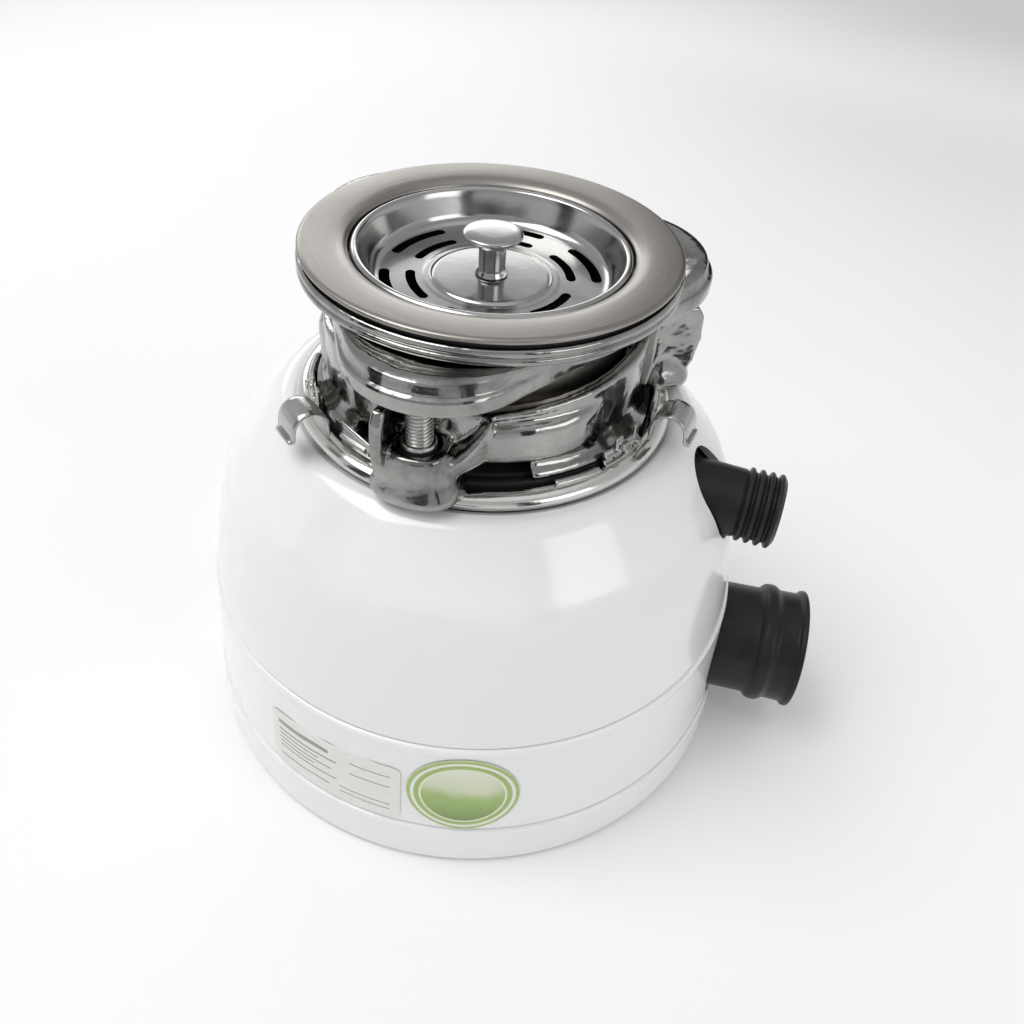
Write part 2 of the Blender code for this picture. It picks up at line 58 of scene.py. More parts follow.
NOISE_LOW, NOISE_HIGH = 0.3, 0.7  # most of a noise texture lies between these

# Materials ----------------------------------------------------------------------------------------


class Nodes:
    """A short way to wire up one material's node tree."""

    def __init__(self, name):
        self.material = bpy.data.materials.new(name)
        self.material.use_nodes = True
        self.tree = self.material.node_tree
        self.shader = self.tree.nodes["Principled BSDF"]
        self.place = self.add("ShaderNodeTexCoord").outputs["Object"]

    def add(self, kind, **values):
        node = self.tree.nodes.new(kind)
        for key, value in values.items():
            if hasattr(node, key):
                setattr(node, key, value)
            else:
                node.inputs[key.replace("_", " ")].default_value = value
        return node

    def link(self, source, target):
        self.tree.links.new(source, target)

    def noise(self, scale, detail=4.0, rough=0.55, place=None):
        made = self.add("ShaderNodeTexNoise", Scale=scale, Detail=detail, Roughness=rough)
        self.link(place or self.place, made.inputs["Vector"])
        return made.outputs["Fac"]

    def ramp(self, source, stops, interpolation="LINEAR"):
        made = self.add("ShaderNodeValToRGB")
        band = made.color_ramp
        band.interpolation = interpolation
        while len(band.elements) < len(stops):
            band.elements.new(0.5)
        for element, (position, colour) in zip(band.elements, stops):
            element.position = position
            element.color = (*colour, 1.0)
        self.link(source, made.inputs["Fac"])
        return made.outputs["Color"]

    def spread(self, source, low, high):
        """Stretches a noise's usual values to run from low to high."""
        made = self.add("ShaderNodeMapRange")
        made.inputs["From Min"].default_value = NOISE_LOW
        made.inputs["From Max"].default_value = NOISE_HIGH
        made.inputs["To Min"].default_value = low
        made.inputs["To Max"].default_value = high
        self.link(source, made.inputs["Value"])
        return made.outputs["Result"]

    def mix(self, factor, first, second):
        """The first colour where the factor is 0, and the second where it is 1."""
        made = self.add("ShaderNodeMix", data_type="RGBA")
        self.link(factor, made.inputs["Factor"])
        for slot, colour in zip(made.inputs[6:8], (first, second)):
            if isinstance(colour, tuple):
                slot.default_value = (*colour, 1.0)
            else:
                self.link(colour, slot)
        return made.outputs[2]

    def math(self, operation, a, b=None):
        made = self.add("ShaderNodeMath")
        made.operation = operation
        for slot, value in zip(made.inputs, (a, b)):
            if value is None:
                continue
            if isinstance(value, (int, float)):
                slot.default_value = value
            else:
                self.link(value, slot)
        return made.outputs[0]

    def bump(self, height, distance, strength=1.0, under=None):
        made = self.add("ShaderNodeBump")
        made.inputs["Strength"].default_value = strength
        made.inputs["Distance"].default_value = distance
        self.link(height, made.inputs["Height"])
        if under is not None:
            self.link(under, made.inputs["Normal"])
        return made.outputs["Normal"]

    def set(self, **values):
        for key, value in values.items():
            socket = self.shader.inputs[key.replace("_", " ")]
            if isinstance(value, (int, float, tuple)):
                socket.default_value = value
            else:
                self.link(value, socket)

    def axes(self):
        """A point's X, Y and Z, in metres."""
        split = self.add("ShaderNodeSeparateXYZ")
        self.link(self.place, split.inputs[0])
        return split.outputs[0], split.outputs[1], split.outputs[2]

    def along_wall(self, azimuth):
        """How far a point is to the side of this azimuth, and how high, in metres."""
        x, y, height = self.axes()
        turn = math.radians(azimuth)
        across = self.math("ADD", self.math("MULTIPLY", x, -math.sin(turn)),
                           self.math("MULTIPLY", y, math.cos(turn)))
        return across, height

    def length(self, x, y):
        return self.math("SQRT", self.math("ADD", self.math("MULTIPLY", x, x), self.math("MULTIPLY", y, y)))


def finish_of(name, colour, rough, metallic, grain, vary, patch, coat=0.0):
    """Colour and roughness that drift a little, with a fine grain.

    rough is (low, high), grain is (scale, depth in metres), and vary is the share that the colour drifts by.
    """
    n = Nodes(name)
    drift = n.noise(patch, 5.0, 0.6)
    fine = n.noise(grain[0], 3.0, 0.5)
    darker, lighter = [tuple(c * factor for c in colour) for factor in (1 - vary, 1 + vary)]
    n.set(Base_Color=n.ramp(drift, [(NOISE_LOW, darker), (NOISE_HIGH, lighter)]),
          Roughness=n.spread(drift, *rough), Metallic=metallic, Normal=n.bump(fine, grain[1]),
          Coat_Weight=coat, Coat_Roughness=0.04)
    return n.material


def brushed(name):
    """Stainless steel with fine brushing round the axis and broader bands that vary its roughness."""
    n = Nodes(name)
    x, y = n.axes()[:2]
    join = n.add("ShaderNodeCombineXYZ")  # packed close across the brushing and drawn out along it
    for socket, source, factor in zip(join.inputs, (n.length(x, y), x, y), (60.0, 0.6, 0.6)):
        n.link(n.math("MULTIPLY", source, factor), socket)
    lines = n.noise(60.0, 6.0, 0.7, place=join.outputs[0])
    broad = n.noise(26.0, 3.0, 0.5)
    n.set(Base_Color=n.ramp(lines, [(NOISE_LOW, (0.27, 0.255, 0.235)), (NOISE_HIGH, (0.35, 0.33, 0.305))]),
          Metallic=1.0, Roughness=n.math("ADD", n.spread(lines, 0.26, 0.38), n.spread(broad, -0.04, 0.05)),
          Normal=n.bump(lines, 0.00003, 0.5))
    return n.material


def cast(name):
    """Bright casting: a tumbled, slightly wavy skin with pits, its colour kept low and blotched darker as
    painted dark reflections of the room.
    """
    n = Nodes(name)
    wave = n.noise(75.0, 3.0, 0.5)
    dark_reflection_patches = n.noise(34.0, 6.0, 0.65)
    pits = n.noise(900.0, 2.0, 0.5)
    skin = n.bump(wave, 0.0013, 0.6)
    # Painted dark reflections: the base colour is kept low overall and blotched darker, standing in for the
    # room's shade seen in the metal.
    n.set(Base_Color=n.ramp(dark_reflection_patches, [(0.34, (0.17, 0.167, 0.16)), (0.47, (0.31, 0.307, 0.295)),
                                     (0.72, (0.44, 0.436, 0.42))]),
          Metallic=1.0, Roughness=n.spread(dark_reflection_patches, 0.20, 0.09), Normal=n.bump(pits, 0.00002, 0.12, skin))
    return n.material


def glossy_white(name):
    """Glossy white plastic: faint orange peel, a clear coat and a few dust specks."""
    n = Nodes(name)
    peel = n.noise(220.0, 2.0, 0.4)
    drift = n.noise(12.0, 4.0, 0.5)
    specks = n.noise(1500.0, 2.0, 0.6)
    base = n.ramp(drift, [(NOISE_LOW, (0.85, 0.85, 0.85)), (NOISE_HIGH, (0.88, 0.88, 0.88))])
    dust = n.ramp(specks, [(0.735, (0, 0, 0)), (0.76, (0.35, 0.35, 0.35))])
    n.set(Base_Color=n.mix(dust, base, (0.55, 0.55, 0.54)), Roughness=n.spread(drift, 0.14, 0.2),
          Normal=n.bump(peel, 0.00006, 0.5), Coat_Weight=0.4, Coat_Roughness=0.12)
    return n.material


def rubber(name, colour=(0.012, 0.012, 0.013), rough=(0.42, 0.58)):
    """Black rubber with a fine moulded grain and greyer, drier patches."""
    n = Nodes(name)
    grain = n.noise(1400.0, 3.0, 0.6)
    dry = n.noise(60.0, 6.0, 0.7)
    n.set(Base_Color=n.ramp(dry, [(0.35, colour), (0.75, tuple(c * 2.0 + 0.002 for c in colour))]),
          Specular_IOR_Level=0.25, Roughness=n.spread(dry, *rough), Normal=n.bump(grain, 0.00008, 0.5))
    return n.material


def sticker(name, rings, centre_az, centre_z, radius):
    """Rings round a point on the wall, at shares of the radius, with a soft two-tone field inside them."""
    n = Nodes(name)
    across, height = n.along_wall(centre_az)
    up = n.math("SUBTRACT", height, centre_z * MM)
    away = n.math("DIVIDE", n.length(across, up), radius * MM)
    field = n.math("ADD", n.math("MULTIPLY", up, 24.0), n.math("MULTIPLY", n.noise(55.0, 2.0, 0.5), 0.25))
    inside = n.ramp(n.math("ADD", field, 0.35), [
        (0.05, (0.10, 0.17, 0.035)), (0.28, (0.22, 0.34, 0.08)), (0.46, (0.34, 0.48, 0.14)),
        (0.56, (0.62, 0.68, 0.46)), (0.85, (0.78, 0.81, 0.70))])
    printed = n.ramp(away, rings, "CONSTANT")
    mask = n.ramp(away, [(0.0, (0, 0, 0)), (rings[1][0], (1, 1, 1))], "CONSTANT")
    n.set(Base_Color=n.mix(mask, inside, printed), Roughness=n.spread(n.noise(40.0), 0.22, 0.32),
          Coat_Weight=0.3)
    return n.material


def ruled_paper(name, low, high, centre_az, half_width):
    """Off-white label stock with plain grey rules and no lettering."""
    n = Nodes(name)
    across, height = n.along_wall(centre_az)
    u = n.math("DIVIDE", across, half_width * MM)
    v = n.math("DIVIDE", n.math("SUBTRACT", height, (low + high) / 2 * MM), (high - low) / 2 * MM)

    def inside(value, start, end):
        return n.math("MULTIPLY", n.math("GREATER_THAN", value, start), n.math("LESS_THAN", value, end))

    rules = [  # left, right, bottom and top, from -1 to 1 across the label
        (-0.86, -0.02, 0.60, 0.74), (-0.86, 0.10, 0.36, 0.42), (-0.86, -0.18, 0.20, 0.25),
        (-0.86, 0.02, 0.04, 0.09), (-0.86, -0.26, -0.12, -0.07), (-0.86, 0.10, -0.28, -0.23),
        (-0.86, -0.02, -0.62, -0.57), (0.14, 0.86, -0.70, -0.66), (0.14, 0.86, -0.50, -0.46),
        (0.30, 0.86, 0.60, 0.64), (0.30, 0.86, 0.20, 0.24)]
    ink = 0.0
    for left, right, bottom, top in rules:
        ink = n.math("MAXIMUM", ink, n.math("MULTIPLY", inside(u, left, right), inside(v, bottom, top)))
    fibre = n.noise(700.0, 4.0, 0.6)
    paper = n.ramp(fibre, [(NOISE_LOW, (0.78, 0.765, 0.72)), (NOISE_HIGH, (0.86, 0.845, 0.80))])
    n.set(Base_Color=n.mix(n.math("MULTIPLY", ink, 0.85), paper, (0.22, 0.22, 0.22)),
          Roughness=n.spread(fibre, 0.38, 0.5), Normal=n.bump(fibre, 0.00002, 0.5))
    return n.material


RIM = brushed("brushed_rim")
CAST = cast("cast_bright")
POLISHED = finish_of("polished_steel", (0.43, 0.427, 0.418), (0.13, 0.2), 1.0, (500.0, 0.000012), 0.07, 45.0)
STEEL = finish_of("bright_steel", (0.60, 0.59, 0.57), (0.16, 0.3), 1.0, (900.0, 0.00003), 0.12, 60.0)
BAND = finish_of("rolled_band", (0.74, 0.73, 0.70), (0.10, 0.2), 1.0, (300.0, 0.00006), 0.10, 40.0)
HOOK_STEEL = finish_of("pressed_hooks", (0.46, 0.455, 0.44), (0.14, 0.26), 1.0, (400.0, 0.00005), 0.16, 70.0)
ZINC = finish_of("zinc_screw", (0.52, 0.515, 0.50), (0.2, 0.34), 1.0, (1200.0, 0.00005), 0.18, 120.0)
WHITE = glossy_white("glossy_white")
RUBBER = rubber("black_rubber")
HOSE = rubber("black_moulding", (0.010, 0.010, 0.011), (0.30, 0.44))
DARK = rubber("dark_moulding", (0.016, 0.016, 0.017), (0.45, 0.6))
GREY = finish_of("grey_casting", (0.33, 0.34, 0.35), (0.35, 0.5), 0.9, (800.0, 0.00008), 0.12, 50.0)
COPPER = finish_of("wound_copper", (0.62, 0.30, 0.15), (0.25, 0.4), 1.0, (1600.0, 0.0001), 0.15, 90.0)
CERAMIC = finish_of("dark_ceramic", (0.06, 0.06, 0.065), (0.5, 0.7), 0.0, (1100.0, 0.00008), 0.2, 80.0)
RED = finish_of("red_button", (0.55, 0.03, 0.02), (0.25, 0.36), 0.0, (700.0, 0.00003), 0.08, 60.0, coat=0.2)
LINER = rubber("felted_liner", (0.02, 0.02, 0.021), (0.75, 0.9))

# Shapes -------------------------------------------------------------------------------------------


def polar(radius, azimuth, height=0.0):
    turn = math.radians(azimuth)
    return (radius * math.cos(turn), radius * math.sin(turn), height)


def rounded(outline, closed=True, steps=5):
    """The outline with each corner that names a third number cut back that far and curved over."""
    out = []
    count = len(outline)
    for i, (x, y, *reach) in enumerate(outline):
        if not reach or (not closed and i in (0, count - 1)):
            out.append((x, y))
            continue
        here = Vector((x, y))
        before = Vector(outline[i - 1][:2]) - here
        after = Vector(outline[(i + 1) % count][:2]) - here
        back = min(reach[0], before.length * 0.49)
        ahead = min(reach[0], after.length * 0.49)
        for step in range(steps + 1):
            t = step / steps
            point = here + before.normalized() * back * (1 - t) ** 2 + after.normalized() * ahead * t ** 2
            out.append(tuple(point))
    return out


def settle(work, name, look, angle=32.0, body="housing", stands_for=()):
    """Turns a bmesh in millimetres into a piece: smooth, with edges sharper than the angle kept crisp."""
    bmesh.ops.recalc_face_normals(work, faces=work.faces)
    for face in work.faces:
        face.smooth = True
    limit = math.radians(angle)
    for edge in work.edges:
        edge.smooth = len(edge.link_faces) == 2 and edge.calc_face_angle(0.0) < limit
    mesh = bpy.data.meshes.new(name)
    work.to_mesh(mesh)
    work.free()
    mesh.transform(Matrix.Scale(MM, 4))
    made = bpy.data.objects.new(name, mesh)
    bpy.context.scene.collection.objects.link(made)
    mesh.materials.append(look)
    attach(made, body)
    if stands_for:
        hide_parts(*stands_for)


def distinct(*corners):
    """The corners of a face, each once, where some of them fall together."""
    return tuple(dict.fromkeys(corners))


def lathe(outline, steps=144, axis=None):
    """A bmesh of a (radius, height) outline turned about Z, or about a line given as a matrix."""
    work = bmesh.new()
    rings = []
    for step in range(steps):
        turn = 2 * math.pi * step / steps
        ring = []
        for i, (radius, height) in enumerate(outline):
            if radius < 1e-6:
                ring.append(rings[0][i] if rings else work.verts.new((0, 0, height)))
            else:
                ring.append(work.verts.new((radius * math.cos(turn), radius * math.sin(turn), height)))
        rings.append(ring)
    count = len(outline)
    for a, b in zip(rings, rings[1:] + rings[:1]):
        for i in range(count):
            j = (i + 1) % count
            corners = distinct(a[i], b[i], b[j], a[j])
            if len(corners) > 2:
                work.faces.new(corners)
    if axis:
        work.transform(axis)
    return work


def outward(azimuth, height):
    """Places something turned about +Z so that it points outwards at this azimuth and height."""
    return (Matrix.Translation((0, 0, height)) @ Matrix.Rotation(math.radians(azimuth), 4, "Z")
            @ Matrix.Rotation(math.radians(90), 4, "Y"))


def upright(azimuth, radius):
    """Places something drawn round the origin at this azimuth and radius, with its X outwards."""
    return Matrix.Translation(polar(radius, azimuth)) @ Matrix.Rotation(math.radians(azimuth), 4, "Z")


def sweep(sections, closed=False):
    """Skins a row of equal loops of points, with capped ends unless the row is closed."""
    work = bmesh.new()
    rows = [[work.verts.new(point) for point in loop] for loop in sections]
    count = len(rows[0])
    pairs = list(zip(rows, rows[1:])) + ([(rows[-1], rows[0])] if closed else [])
    for a, b in pairs:
        for i in range(count):
            work.faces.new((a[i], a[(i + 1) % count], b[(i + 1) % count], b[i]))
    if not closed:
        work.faces.new(rows[0][::-1])
        work.faces.new(rows[-1])
    return work


def block(size, matrix):
    work = bmesh.new()
    bmesh.ops.create_cube(work, size=1.0, matrix=matrix @ Matrix.Diagonal(Vector(size)).to_4x4())
    return work


def arc_wall(angles, section, steps=None):
    """Sweeps a section round the axis.

    section(share) gives its (radius, height) points at that share of the way between the angles.
    """
    start, end = angles
    steps = steps or max(2, int(abs(end - start) / 2))
    loops = []
    for step in range(steps + 1):
        share = step / steps
        azimuth = start + (end - start) * share
        loops.append([polar(r, azimuth, z) for r, z in section(share)])
    return sweep(loops)


def merge(works):
    """One bmesh from several."""
    whole = bmesh.new()
    for work in works:
        mesh = bpy.data.meshes.new("joined")
        bmesh.ops.recalc_face_normals(work, faces=work.faces)
        work.to_mesh(mesh)
        work.free()
        whole.from_mesh(mesh)
        bpy.data.meshes.remove(mesh)
    return whole


def evaluated(work, *modifiers):
    """The bmesh after these (type, settings) modifiers."""
    bmesh.ops.recalc_face_normals(work, faces=work.faces)
    mesh = bpy.data.meshes.new("work")
    work.to_mesh(mesh)
    work.free()
    holder = bpy.data.objects.new("work", mesh)
    bpy.context.scene.collection.objects.link(holder)
    for kind, settings in modifiers:
        modifier = holder.modifiers.new(kind, kind)
        for key, value in settings.items():
            setattr(modifier, key, value)
    bpy.context.view_layer.update()
    graph = bpy.context.evaluated_depsgraph_get()
    result = bmesh.new()
    made = bpy.data.meshes.new_from_object(holder.evaluated_get(graph))
    result.from_mesh(made)
    bpy.data.objects.remove(holder, do_unlink=True)
    bpy.data.meshes.remove(made)
    return result


def cut(work, *cutters, operation="DIFFERENCE"):
    """The bmesh with the others cut from it, or joined to it."""
    for cutter in cutters:
        bmesh.ops.recalc_face_normals(cutter, faces=cutter.faces)
        mesh = bpy.data.meshes.new("cutter")
        cutter.to_mesh(mesh)
        cutter.free()
        tool = bpy.data.objects.new("cutter", mesh)
        bpy.context.scene.collection.objects.link(tool)
        work = evaluated(work, ("BOOLEAN", {"object": tool, "operation": operation, "solver": "EXACT"}))
        bpy.data.objects.remove(tool, do_unlink=True)
    return work


def melted(work, voxel, smooth):
    """Fuses overlapping shapes into one skin with soft inside and outside corners, as in a casting."""
    return evaluated(
        work, ("REMESH", {"mode": "VOXEL", "voxel_size": voxel}),
        ("SMOOTH", {"factor": 0.5, "iterations": smooth}))


def rod(radius, low, high, matrix=None, sides=48):
    """A solid round bar along Z, or along a line given as a matrix."""
    return lathe([(0, low), (radius, low), (radius, high), (0, high)], sides, axis=matrix)


def squircle(turn, power):
    """A point at this turn of a rounded square 2 across: a circle at power 1, and squarer below it."""
    return [0.0 if abs(value) < 1e-9 else math.copysign(abs(value) ** power, value)
            for value in (math.cos(turn), math.sin(turn))]


# Sink flange --------------------------------------------------------------------------------------
rim_outline = [
    (42.75, 141.0), (42.75, 174.6), (41.4, 175.9, 0.5), (41.4, 177.0, 0.5), (42.75, 177.0), (42.75, 179.7),
    (42.95, 180.9, 0.4), (43.9, 181.7, 0.5), (46.0, 182.5, 1.5), (50.0, 182.85, 2.5), (56.4, 183.05, 0.6),
    (57.45, 182.6, 0.5), (57.3, 181.5, 0.3), (56.2, 181.3), (56.0, 181.7), (48.6, 181.7, 1.0),
    (44.5, 178.4, 2.0), (44.5, 150.0), (43.7, 150.0), (43.7, 147.6), (44.5, 147.6), (44.5, 141.0)]
settle(lathe(rounded(rim_outline), 192), "rim", RIM, stands_for=("sink_flange",))

settle(lathe(rounded([
    (48.5, 181.2), (55.2, 181.2, 0.6), (55.9, 180.1, 0.6), (55.7, 179.0, 0.4), (48.5, 178.9)]), 144),
    "gasket", RUBBER, stands_for=("flange_gasket",))

# Strainer -----------------------------------------------------------------------------------------
dish = lathe(rounded([
    (0, FLOOR_Z + 0.8), (17.8, FLOOR_Z + 0.8, 1.0), (18.6, FLOOR_Z + 0.1, 0.5), (20.4, FLOOR_Z + 0.1, 0.6),
    (21.2, FLOOR_Z, 0.6), (35.2, FLOOR_Z, 1.6), (37.2, 172.4, 1.4), (39.5, 179.5, 1.0), (40.2, 180.9, 0.6),
    (41.4, 181.1, 0.5), (42.3, 180.4, 0.4), (41.9, 179.8, 0.3), (40.7, 179.6, 0.5), (38.2, 172.0, 1.4),
    (35.8, FLOOR_Z - 1.0, 1.6), (19.0, FLOOR_Z - 1.0), (17.4, FLOOR_Z - 0.2), (0, FLOOR_Z - 0.2)],
    closed=False), 180)


def slot_cutter(radius, half_width, middle, half_angle):
    """A slot with round ends that follows a ring."""
    loop = []
    for side, (first, last) in ((1, (-half_angle, half_angle)), (-1, (half_angle, -half_angle))):
        for step in range(15):
            azimuth = middle + first + (last - first) * step / 14
            loop.append(polar(radius + side * half_width, azimuth)[:2])
        end = Vector(polar(radius, middle + last)[:2])
        heading = math.radians(middle + last)
        for step in range(1, 8):
            turn = heading + (0 if side > 0 else math.pi) + math.pi * step / 8
            loop.append((end.x + half_width * math.cos(turn), end.y + half_width * math.sin(turn)))
    return sweep([[(x, y, z) for x, y in loop] for z in (FLOOR_Z - 3, FLOOR_Z + 3)])


for radius, half_width in ((24.6, 1.5), (32.5, 1.65)):
    for number in range(6):
        dish = cut(dish, slot_cutter(radius, half_width, 32.0 + 60 * number, 17.5))
dish = cut(dish, rod(2.6, 165, 176))
settle(dish, "strainer_dish", POLISHED, 28.0, "strainer", ("strainer_basket",))

settle(lathe(rounded([
    (0, 185.4), (6.0, 185.3, 1.5), (8.7, 184.9, 0.8), (9.2, 184.1, 0.5), (8.4, 183.2, 0.8), (5.2, 182.4, 1.0),
    (4.2, 181.0, 1.0), (4.1, 173.4, 0.5), (5.0, 171.9, 0.5), (5.0, 171.65), (2.3, 171.65), (2.3, 163.6),
    (0, 163.6)], closed=False), 72), "strainer_knob", POLISHED, 40.0, "strainer", ("strainer_handle",))
settle(lathe(rounded([(41.2, 179.3, 0.3), (42.3, 179.3, 0.3), (42.3, 177.4, 0.3), (40.6, 177.4, 0.3)]), 144),
       "strainer_gasket", RUBBER, body="strainer", stands_for=("strainer_seal",))

# Clamp plate --------------------------------------------------------------------------------------
LOBE_R = 28.5
LOBE_CENTRE = 41.5
LOBE_REACH = LOBE_CENTRE + LOBE_R
SIDE_DISTANCE = LOBE_CENTRE / 2 + LOBE_R  # a side touches two lobes, 60 degrees round from each
TANGENT = math.radians(60)
LOBE_END = math.degrees(math.atan2(LOBE_R * math.sin(TANGENT), LOBE_CENTRE + LOBE_R * math.cos(TANGENT)))
PLATE_BORE = 45.6
HUB_FOOT = 51.4
SEAT_LOW, SEAT_RISE = 2.0, 4.0  # the lobes sit unevenly, lowest in front
LOBE_FADE, LOBE_EASE = 33.0, 12.0  # where the lobes' extra inset ends, and how gently
PLATE_AZ = [1.5 * step for step in range(240)]


def lobe_distance(azimuth):
    """How far round from the nearest screw this azimuth is."""
    return min(abs((azimuth - middle + 180) % 360 - 180) for middle in SCREW_AZ)


def plate_radius(azimuth):
    """The rounded triangle: three lobes joined by straight sides."""
    away = lobe_distance(azimuth)
    if away < LOBE_END:
        turn = math.radians(away)
        return LOBE_CENTRE * math.cos(turn) + math.sqrt(LOBE_R ** 2 - (LOBE_CENTRE * math.sin(turn)) ** 2)
    return SIDE_DISTANCE / math.cos(math.radians(60 - away))


def lobe_share(azimuth):
    """1 over a lobe and 0 along the sides, with an ease between."""
    share = min(1.0, max(0.0, (LOBE_FADE - lobe_distance(azimuth)) / LOBE_EASE))
    return share * share * (3 - 2 * share)


PLATE_LEVELS = [  # height, inset all round, extra inset at the lobes, share of the hub's circle
    (163.4, 3.0, 0.0, 0.0), (163.4, 0.9, 0.0, 0.0), (163.7, 0.25, 0.0, 0.0), (164.4, 0.0, 0.0, 0.0),
    (167.7, 0.0, 0.0, 0.0), (168.3, 0.15, 0.25, 0.0), (168.7, 0.3, 1.2, 0.0), (169.3, 0.3, 1.6, 0.0),
    (171.3, 0.35, 1.75, 0.0), (172.0, 0.6, 1.9, 0.0), (172.5, 1.2, 2.4, 0.0), (172.8, 2.4, 3.2, 0.05),
    (173.0, 3.6, 4.0, 0.35), (173.4, 3.6, 4.0, 0.8), (174.2, 3.6, 4.0, 1.0), (174.6, 3.6, 4.0, 1.0)]
plate_rows = []
for height, inset, lobe_inset, hub in PLATE_LEVELS:
    row = []
    for azimuth in PLATE_AZ:
        edge = plate_radius(azimuth) - inset - lobe_inset * lobe_share(azimuth)
        back = -edge * math.cos(math.radians(azimuth - SCREW_AZ[0]))
        seat = SEAT_LOW + SEAT_RISE * (LOBE_REACH + back) / (1.5 * LOBE_REACH)
        row.append(polar(edge + (HUB_FOOT - edge) * hub, azimuth, height + seat * (1 - hub)))
    plate_rows.append(row)
bore_rows = [[polar(PLATE_BORE, azimuth, level[0]) for azimuth in PLATE_AZ]
             for level in (PLATE_LEVELS[-1], PLATE_LEVELS[0])]
plate = sweep(plate_rows + bore_rows, closed=True)
hub_band = lathe(rounded([
    (45.0, 178.5), (55.9, 178.5), (56.1, 179.7, 0.3), (57.0, 180.1, 0.6), (57.9, 179.3, 0.6),
    (57.9, 178.0, 0.5), (57.3, 177.4, 0.2), (57.9, 176.9, 0.4), (58.0, 175.6, 0.6), (56.8, 174.8, 0.7),
    (54.2, 174.4, 1.2), (52.2, 172.6, 1.2), (52.0, 170.0), (45.0, 170.0)]), 180)
plate = cut(plate, hub_band, operation="UNION")
for azimuth in SCREW_AZ:
    plate = cut(plate, rod(5.4, 160, 169.6, Matrix.Translation(polar(SCREW_R, azimuth))))
settle(plate, "clamp_plate", CAST, 30.0, stands_for=("backup_plate",))

# Cast mounting ring -------------------------------------------------------------------------------
lumps = [lathe([(45.1, 154.0), (50.6, 154.0), (50.6, 150.2), (45.1, 150.2)], 120),
         lathe([(46.7, 152.0), (50.6, 152.0), (50.6, 139.2), (46.7, 139.2)], 120)]
for azimuth in SCREW_AZ:
    cup = []  # the cup under the screw, flaring towards its foot
    for height, width, depth in (
            (131.4, 10.4, 8.4), (132.2, 13.0, 10.6), (134.2, 14.0, 11.6), (136.4, 13.2, 10.8),
            (140.0, 11.4, 9.6), (145.6, 9.8, 8.9), (147.4, 9.4, 8.6), (148.2, 8.7, 8.0)):
        corners = [squircle(math.radians(7.5 * step + 0.5), 0.8) for step in range(48)]
        cup.append([(SCREW_R + u * depth, v * width - 0.3, height) for u, v in corners])
    cup = sweep(cup)
    cup.transform(upright(azimuth, 0))
    lumps.append(cup)
    lumps.append(block((12.0, 19.6, 10.4), upright(azimuth, 53.4) @ Matrix.Translation((0, 0, 138.9))))
    wall_outline = ((46.8, 133.8), (60.0, 132.6), (64.5, 135.0), (68.0, 141.5),
                    (69.4, 150.0), (68.8, 158.4), (66.4, 161.8), (46.8, 162.4))
    wall = sweep([[(r, side, z) for r, z in wall_outline] for side in (-10.6, -6.8)])  # beside the screw
    wall.transform(upright(azimuth, 0))
    lumps.append(wall)
    lumps.append(arc_wall((azimuth - 24, azimuth - 7), lambda t: [  # the tall wall that runs up to it
        (46.7, 134.3), (50.9 + 8.4 * t ** 3, 133.8), (50.9 + 8.4 * t ** 3, 162.3), (46.7, 162.3)]))
    lumps.append(arc_wall((azimuth - 6, azimuth + 14), lambda t: [  # thickening behind the screw
        (46.7, 139.0), (54.4 - 2.0 * t, 139.0), (52.2, 148.0), (51.2, 161.0 - 6.0 * t),
        (46.7, 161.0 - 6.0 * t)]))
    lumps.append(arc_wall((azimuth + 9, azimuth + 112), lambda t: [  # the ring, rising like a ramp
        (46.7, 139.2), (51.0, 139.2), (51.3, 153.0 + 9.0 * t ** 0.8), (50.4, 154.2 + 8.4 * t ** 0.8),
        (47.2, 154.2 + 8.4 * t ** 0.8), (46.7, 153.0 + 9.0 * t ** 0.8)]))
    lumps.append(arc_wall((azimuth + 17, azimuth + 98), lambda t: [  # the lip along the ramp's top
        (50.4, 152.8 + 7.6 * t ** 0.8), (52.1 - 1.2 * t, 153.4 + 7.4 * t ** 0.8),
        (52.1 - 1.2 * t, 154.6 + 6.8 * t ** 0.8), (50.4, 155.2 + 6.4 * t ** 0.8)]))
    lumps.append(arc_wall((azimuth + 4, azimuth + 20), lambda t: [  # the gusset down to the cup
        (47.0, 139.0), (66.0 - 12.0 * t, 139.0 + 2.0 * t), (66.4 - 12.2 * t, 143.0 + 11.8 * t * t),
        (63.0 - 9.6 * t, 144.4 + 11.4 * t * t), (47.0, 144.4 + 11.0 * t * t)]))
    lumps.append(arc_wall((azimuth + 5, azimuth + 12.5), lambda t: [  # the gusset's foot
        (47.0, 133.0), (64.0 - 7.0 * t, 133.0), (64.0 - 7.0 * t, 143.0), (47.0, 143.0)]))
    lumps.append(arc_wall((azimuth + 18.5, azimuth + 59), lambda t: [  # the raised pad, fading out
        (48.0, 140.0), (51.2 + 2.6 * (1 - t ** 5), 140.0), (51.4 + 3.0 * (1 - t ** 5), 141.2),
        (51.4 + 3.2 * (1 - t ** 5), 149.6 + 1.8 * t), (51.2 + 2.4 * (1 - t ** 5), 151.6 + 1.8 * t),
        (50.4, 152.8 + 1.8 * t), (48.0, 152.8 + 1.8 * t)]))
    lumps.append(arc_wall((azimuth + 33, azimuth + 111), lambda t: [  # the ring's lower edge
        (46.7, 134.3), (50.8, 134.3), (50.8, 140.5), (46.7, 140.5)]))
    lumps.append(arc_wall((azimuth + 33, azimuth + 92), lambda t: [  # the skirt over the rubber
        (47.0, 134.2), (54.9, 134.1), (55.3, 134.9), (54.6, 136.2), (52.6, 137.6), (51.4, 140.4),
        (50.6, 141.0), (47.0, 141.0)]))
casting = melted(merge(lumps), 0.6, 18)
casting = cut(casting, *[rod(4.35, 128, 148, upright(azimuth, SCREW_R)) for azimuth in SCREW_AZ])
casting = cut(casting, *[rod(6.7, 144.25, 152, upright(azimuth, SCREW_R)) for azimuth in SCREW_AZ])
